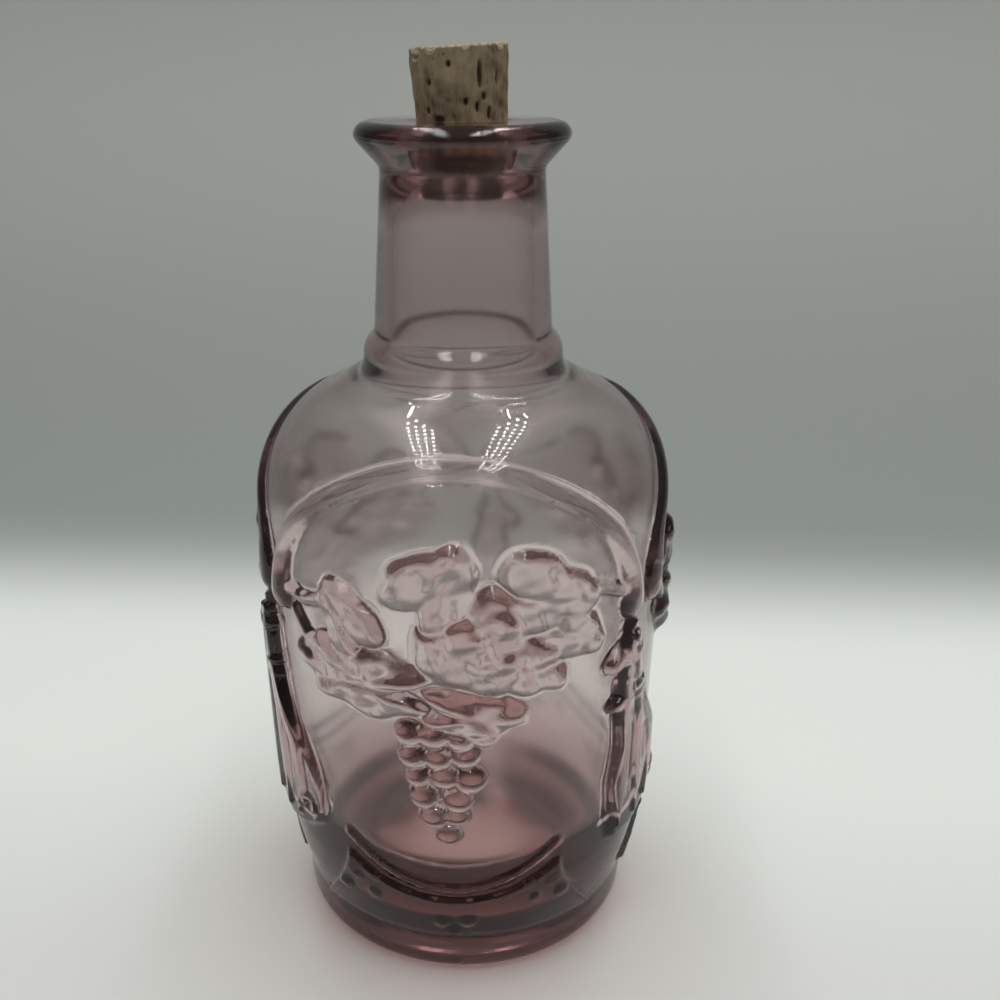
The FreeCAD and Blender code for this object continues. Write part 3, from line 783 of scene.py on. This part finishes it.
# Pores of the cork: turn, level, half length and half width; chips of its rim: turn and size.
PORES = (
    (28.0, 225.0, 3.2, 0.7), (-36.0, 223.6, 1.0, 0.7), (-25.0, 215.6, 1.0, 1.5), (-40.0, 217.4, 0.8, 0.6),
    (10.0, 219.4, 1.0, 0.5), (24.0, 218.2, 1.3, 0.5), (33.0, 220.4, 1.0, 0.6), (40.0, 216.8, 1.6, 0.5),
    (-8.0, 227.4, 0.8, 0.6), (52.0, 224.0, 2.0, 0.4), (95.0, 222.0, 2.2, 0.8), (140.0, 218.0, 1.4, 0.7),
    (170.0, 226.0, 1.6, 0.7), (-100.0, 226.5, 1.5, 0.6), (-120.0, 220.5, 2.4, 0.8), (-150.0, 224.0, 1.2, 0.9),
)
CHIPS = ((-58.0, 3.4), (-30.0, 1.8), (-85.0, 2.4), (12.0, 1.2), (60.0, 1.6), (140.0, 2.4), (-150.0, 1.8))


class DECANTER_OT_cork(bpy.types.Operator):
    """Cut the cork: a taper that leans above the mouth, with pores and a broken rim"""
    bl_idname = "decanter.cork"
    bl_label = "Cork"

    def execute(self, context):
        look = context.scene.decanter
        mesh = bmesh.new()
        points = section((0.0, CORK_END), (
            ((9.3, CORK_END), 0, 0, 0.9),
            ((9.86, CORK_END + 0.6), 0.7, -1, 0.3),
            ((CORK_RADIUS, MOUTH_LEVEL), 0, 0, 0.7),
            ((11.6, CORK_TOP - 0.5), 0, 0, 0.25),
            ((11.1, CORK_TOP), 0.6, -1, 0.2),
            ((0.0, CORK_TOP), 0, 0, 0.4),
        ))
        spin_section(mesh, points, CORK_COLUMNS)
        bmesh.ops.remove_doubles(mesh, verts=mesh.verts, dist=MERGE)
        bmesh.ops.recalc_face_normals(mesh, faces=mesh.faces)
        wear_cork(mesh)
        slope = math.tan(CORK_LEAN)
        for vert in mesh.verts:
            above = max(0.0, vert.co.z - MOUTH_LEVEL * MM)
            vert.co.z += vert.co.x * slope * min(1.0, above / ((CORK_TOP - MOUTH_LEVEL) * MM))
            vert.co.x -= slope * above
        finish_piece("cork_stopper", mesh, cork_material(look), "cork")
        return {"FINISHED"}


def wear_cork(mesh):
    """Sinks the pores and chips into the cork above the mouth, and marks how deep they go, for the pores' own
    dark tone with painted shade and for painted shade in the chips; it also marks the cork below the mouth as
    darker.
    """
    hollow = mesh.verts.layers.float.new("hollow")
    places = np.array([vert.co[:] for vert in mesh.verts]) / MM
    turn = np.degrees(np.arctan2(places[:, 0], -places[:, 1]))
    radius = np.hypot(places[:, 0], places[:, 1])
    share = np.clip((places[:, 2] - MOUTH_LEVEL) / (CORK_TOP - MOUTH_LEVEL), 0.0, 1.0)
    side = CORK_RADIUS + share
    uneven = 0.12 * np.sin(turn * 0.31 + 0.7 * places[:, 2]) * np.sin(turn * 0.17 - 0.5 * places[:, 2])
    sink = np.where(share > 0.0, 0.1 + uneven, 0.0) * (radius > side - 0.7)
    depth = np.zeros(len(places))
    # The pores' own dark tone, with painted shade in them, deepest where they sink furthest.
    for middle, level, length, width in PORES:
        aside = np.radians((turn - middle + 180.0) % 360.0 - 180.0) * side
        reach = np.hypot(aside / width, (places[:, 2] - level) / length)
        depth = np.maximum(depth, np.sqrt(np.maximum(0.0, 1 - reach ** 2)) * (radius > side - 0.9))
    # Chips of the rim: they are sunk into the cork and get painted shade by their depth.
    drop = np.zeros(len(places))
    for middle, size in CHIPS:
        aside = np.radians((turn - middle + 180.0) % 360.0 - 180.0) * side
        reach = np.sqrt(aside ** 2 + (CORK_TOP - places[:, 2]) ** 2 + (side - radius) ** 2) / size
        drop = np.maximum(drop, size * 0.45 * smooth(1.0, 0.35, reach))
    top = smooth(CORK_TOP - 0.8, CORK_TOP, places[:, 2])
    rough = top * 0.25 * (np.sin(turn * 0.9) * np.sin(turn * 0.23 + 1.0) - 0.4) * smooth(9.0, 11.0, radius)
    scale = 1 - (sink + 0.75 * depth + 0.5 * drop) / np.maximum(radius, 1.0)
    # The cork is darker below the mouth level.
    below_mouth_darkening = 0.85 * smooth(MOUTH_LEVEL, MOUTH_LEVEL - 2.5, places[:, 2])
    # Share of the dark colour: the pores' own tone with painted shade, painted shade in the chips, and the
    # darker cork below the mouth.
    marks = np.clip(1.2 * depth + 0.28 * drop + below_mouth_darkening, 0.0, 1.0)
    changes = np.stack((scale, (0.8 * drop - rough) * MM, marks), axis=1).tolist()
    for vert, (factor, fall, mark) in zip(mesh.verts, changes):
        vert.co.x *= factor
        vert.co.y *= factor
        vert.co.z -= fall
        vert[hollow] = mark


def aim_camera(studio):
    """Camera in front of the panel, a little to its right, looking down."""
    camera = bpy.data.objects.new("camera", bpy.data.cameras.new("camera"))
    camera.data.lens = studio.camera_lens
    camera.data.sensor_width = 36.0
    camera.data.shift_x = studio.camera_shift
    camera.data.clip_start = 0.01
    turn = Matrix.Rotation(studio.camera_azimuth, 4, "Z")
    lift = Matrix.Translation((0, -studio.camera_distance, studio.camera_height))
    pitch = Matrix.Rotation(math.pi / 2 - studio.camera_pitch, 4, "X")
    roll = Matrix.Rotation(studio.camera_roll, 4, "Z")
    camera.matrix_world = turn @ lift @ pitch @ roll
    bpy.context.collection.objects.link(camera)
    bpy.context.scene.camera = camera


def add_lamp(name, place, size, power):
    """Rectangular soft lamp that faces down and leaves no reflection of its own."""
    lamp = bpy.data.lights.new(name, "AREA")
    lamp.shape = "RECTANGLE"
    lamp.size, lamp.size_y = size
    lamp.energy = power
    holder = bpy.data.objects.new(name, lamp)
    holder.location = place
    holder.visible_glossy = False
    holder.visible_transmission = False
    bpy.context.collection.objects.link(holder)


def stage_piece(name, mesh, material):
    """Object from a bmesh that belongs to the surroundings."""
    data = bpy.data.meshes.new(name)
    mesh.to_mesh(data)
    mesh.free()
    data.polygons.foreach_set("use_smooth", np.ones(len(data.polygons), bool))
    data.materials.append(material)
    piece = bpy.data.objects.new(name, data)
    bpy.context.collection.objects.link(piece)
    return piece


def add_points(name, across, material):
    """Long strip of small bright squares that hangs above, seen only in the glass."""
    mesh = bmesh.new()
    for row in range(STRIP_ROWS):
        for column in range(STRIP_COLUMNS):
            aside = across + (column - (STRIP_COLUMNS - 1) / 2) * STRIP_PITCH[0]
            along = STRIP_MIDDLE + (row - (STRIP_ROWS - 1) / 2) * STRIP_PITCH[1]
            bmesh.ops.create_grid(mesh, x_segments=1, y_segments=1, size=POINT_SIZE,
                                  matrix=Matrix.Translation((aside, along, STRIP_HEIGHT)))
    strip = stage_piece(name, mesh, material)
    strip.visible_camera = False
    strip.visible_diffuse = False
    strip.visible_shadow = False


class DECANTER_OT_stage(bpy.types.Operator):
    """Set up the floor and wall, the lamps, the world and the camera"""
    bl_idname = "decanter.stage"
    bl_label = "Stage"

    def execute(self, context):
        studio = context.scene.studio
        mesh = bmesh.new()
        outline = section((FLOOR_FRONT, 0.0), (
            ((FLOOR_BACK, 0.0), 0, 0, 0.2),
            ((WALL_DEPTH, WALL_BEND), WALL_BEND, -1, 0.02),
            ((WALL_DEPTH, WALL_TOP), 0, 0, 0.2),
        ))
        corners = [mesh.verts.new((-SWEEP_HALF_WIDTH, depth, level)) for depth, level in outline]
        edges = [mesh.edges.new(pair) for pair in zip(corners[:-1], corners[1:])]
        swept = bmesh.ops.extrude_edge_only(mesh, edges=edges)["geom"]
        moved = [item for item in swept if isinstance(item, bmesh.types.BMVert)]
        bmesh.ops.translate(mesh, verts=moved, vec=(2 * SWEEP_HALF_WIDTH, 0, 0))
        bmesh.ops.recalc_face_normals(mesh, faces=mesh.faces)
        stage_piece("floor_and_wall", mesh, stage_material(studio))
        add_lamp("overhead", *OVERHEAD)
        points = lamp_material(studio)
        for side, across in STRIPS:
            add_lamp(f"strip_{side}", (across, STRIP_DEPTH, STRIP_HEIGHT), STRIP_SIZE, STRIP_POWER)
            add_points(f"points_{side}", across, points)
        world = bpy.data.worlds.new("room")
        world.use_nodes = True
        tree = world.node_tree
        direction = add_node(tree, "ShaderNodeTexCoord")["Generated"]
        height = add_node(tree, "ShaderNodeSeparateXYZ", None, Vector=direction)["Z"]
        share = add_node(tree, "ShaderNodeMapRange", {"interpolation_type": "SMOOTHSTEP"}, Value=height,
                         From_Min=0.0, From_Max=0.9)["Result"]
        tone = add_node(tree, "ShaderNodeMix", {"data_type": "RGBA"}, Factor_Float=share,
                        A_Color=(*studio.room_colour, 1.0), B_Color=(*studio.ceiling_colour, 1.0))
        tree.links.new(tone["Result_Color"].socket, tree.nodes["Background"].inputs["Color"])
        context.scene.world = world
        context.scene.view_settings.view_transform = "Standard"
        aim_camera(studio)
        return {"FINISHED"}


class DECANTER_PT_panel(bpy.types.Panel):
    """Lists the pieces of the decanter in the sidebar"""
    bl_idname = "DECANTER_PT_panel"
    bl_label = "Decanter"
    bl_space_type = "VIEW_3D"
    bl_region_type = "UI"
    bl_category = "Decanter"

    def draw(self, context):
        for operator in OPERATORS:
            self.layout.operator(operator.bl_idname)


OPERATORS = (DECANTER_OT_bottle, DECANTER_OT_cork, DECANTER_OT_stage)
CLASSES = (DecanterSettings, StudioSettings, *OPERATORS, DECANTER_PT_panel)


def register():
    for item in CLASSES:
        bpy.utils.register_class(item)
    bpy.types.Scene.decanter = PointerProperty(type=DecanterSettings)
    bpy.types.Scene.studio = PointerProperty(type=StudioSettings)


def unregister():
    del bpy.types.Scene.studio
    del bpy.types.Scene.decanter
    for item in reversed(CLASSES):
        bpy.utils.unregister_class(item)


def main():
    register()
    bpy.ops.decanter.bottle()
    bpy.ops.decanter.cork()
    bpy.ops.decanter.stage()


if __name__ == "__main__":
    main()
